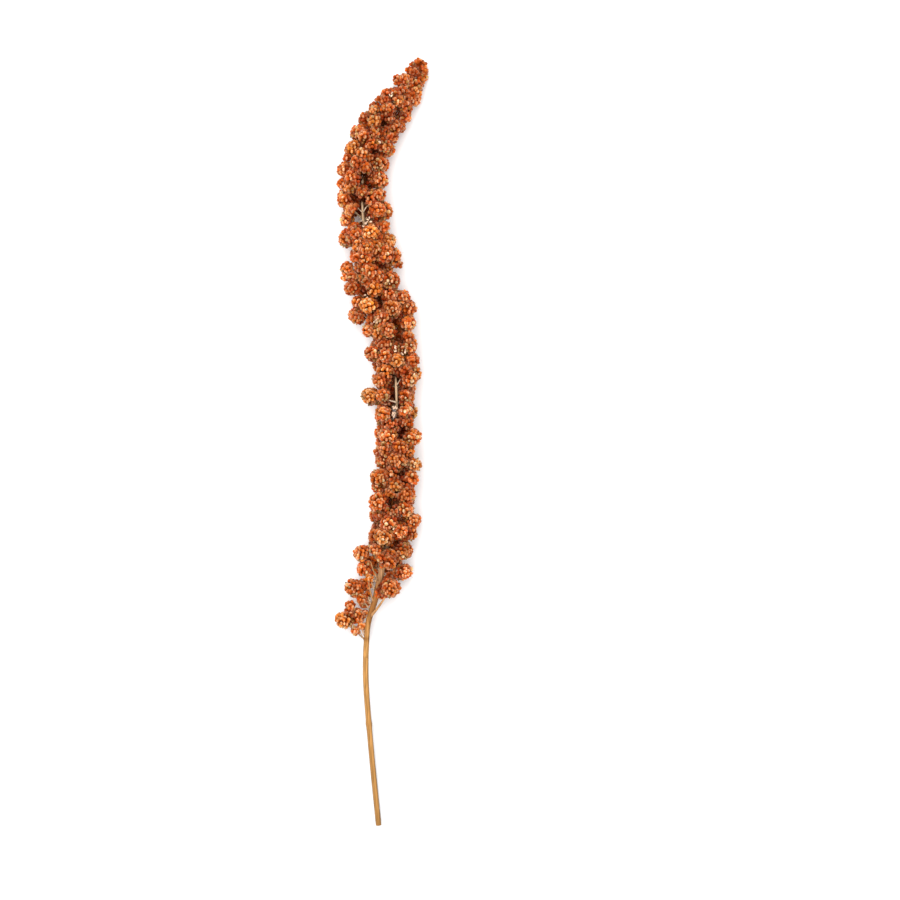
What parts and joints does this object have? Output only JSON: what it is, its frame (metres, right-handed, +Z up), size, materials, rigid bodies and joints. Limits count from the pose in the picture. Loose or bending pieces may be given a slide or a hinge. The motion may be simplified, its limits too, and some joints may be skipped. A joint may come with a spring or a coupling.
{
  "type": "millet seed head",
  "caption": "Dried foxtail millet seed head on its cut straw stem, lying on its side: a long nodding spike of round lumps of small rust-orange grains round a thin rachis.",
  "frame": {"origin": "middle of the outer box in X and Y, on the surface that the head lies on", "axes": "+Y from the cut end of the stem to the tip of the head, +Z up, away from the surface"},
  "size_m": [0.0479, 0.3875, 0.0263],
  "materials": {
    "straw": "smooth dry straw, slightly glossy",
    "grain": "dry seed husks, rust orange, satin"
  },
  "bodies": {
    "root": {"stem": "straw", "seed_head": "grain"}
  },
  "joints": []
}
